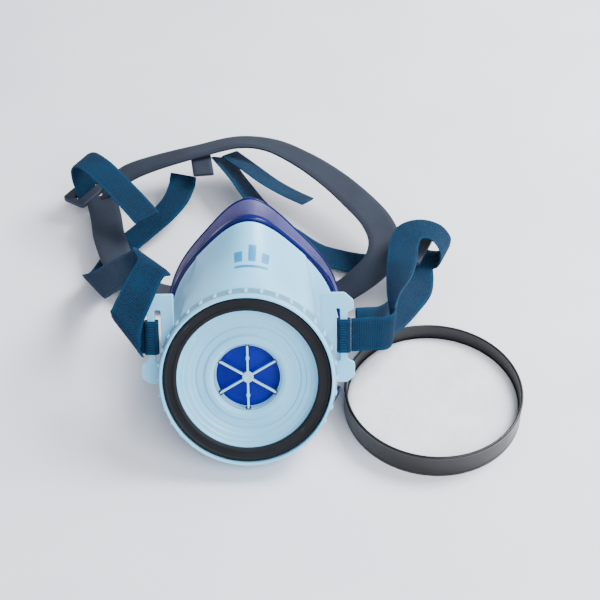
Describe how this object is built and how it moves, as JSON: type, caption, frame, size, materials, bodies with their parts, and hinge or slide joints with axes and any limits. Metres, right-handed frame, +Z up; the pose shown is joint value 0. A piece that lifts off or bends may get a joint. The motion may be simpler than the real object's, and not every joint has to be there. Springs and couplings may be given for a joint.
{
  "type": "half-mask respirator",
  "caption": "Half-mask respirator with hard front shell, valves, soft facepiece, elastic head harness with flexible cradle, and a loose filter holder beside it.",
  "frame": {"origin": "centre of the bounding box's bottom face, on the table", "axes": "+Z up, the mask's front faces -Y and up, the harness lies towards +Y, the filter holder lies towards +X and -Y"},
  "size_m": [0.2684, 0.2561, 0.0875],
  "materials": {
    "shell_plastic": "satin",
    "black_rubber": "matte",
    "valve_rubber": "gloss",
    "navy_rubber": "gloss",
    "lip_rubber": "satin",
    "strap_elastic": "woven",
    "cradle_rubber": "matte",
    "ring_plastic": "satin",
    "filter_felt": "felt"
  },
  "bodies": {
    "mask": {"front_shell": "shell_plastic", "seat_plate": "shell_plastic", "seat_gasket": "black_rubber", "inlet_grille": "shell_plastic", "facepiece_cup": "navy_rubber", "face_seal_lip": "lip_rubber", "exhale_seat_right": "shell_plastic", "exhale_cover_right": "navy_rubber", "exhale_seat_left": "shell_plastic", "exhale_cover_left": "navy_rubber", "strap_loop_right": "strap_elastic", "strap_loop_left": "strap_elastic"},
    "inhale_valve": {"inhale_flap": "valve_rubber"},
    "exhale_valve_right": {"exhale_flap_right": "valve_rubber"},
    "exhale_valve_left": {"exhale_flap_left": "valve_rubber"},
    "harness": {"head_cradle": "cradle_rubber", "strap_left_front": "strap_elastic", "strap_left_rear": "strap_elastic", "strap_upper_left": "strap_elastic", "strap_rear": "strap_elastic", "strap_tail": "strap_elastic", "strap_right_front": "strap_elastic", "strap_right_inner": "strap_elastic"},
    "filter_holder": {"filter_ring": "ring_plastic"},
    "felt_disc": {"filter_felt": "filter_felt"}
  },
  "joints": [
    {"name": "harness_swing", "type": "hinge", "parent": "mask", "child": "harness", "pos_m": [-0.0088, -0.07962, 0.05346], "axis": [1, 0, 0], "range_deg": [0, 75]},
    {"name": "inhale_flap_lift", "type": "slide", "parent": "mask", "child": "inhale_valve", "axis": [0, 0.8387, -0.5446], "range_m": [0, 0.0022]},
    {"name": "exhale_flap_right_lift", "type": "slide", "parent": "mask", "child": "exhale_valve_right", "axis": [0.8691, -0.408, -0.2796], "range_m": [0, 0.0015]},
    {"name": "exhale_flap_left_lift", "type": "slide", "parent": "mask", "child": "exhale_valve_left", "axis": [-0.8691, -0.408, -0.2796], "range_m": [0, 0.0015]},
    {"name": "filter_holder_slide", "type": "slide", "parent": "mask", "child": "filter_holder", "axis": [1, 0, 0], "range_m": [0, 0.06]},
    {"name": "felt_lift", "type": "slide", "parent": "filter_holder", "child": "felt_disc", "axis": [0, 0, 1], "range_m": [0, 0.013]}
  ]
}
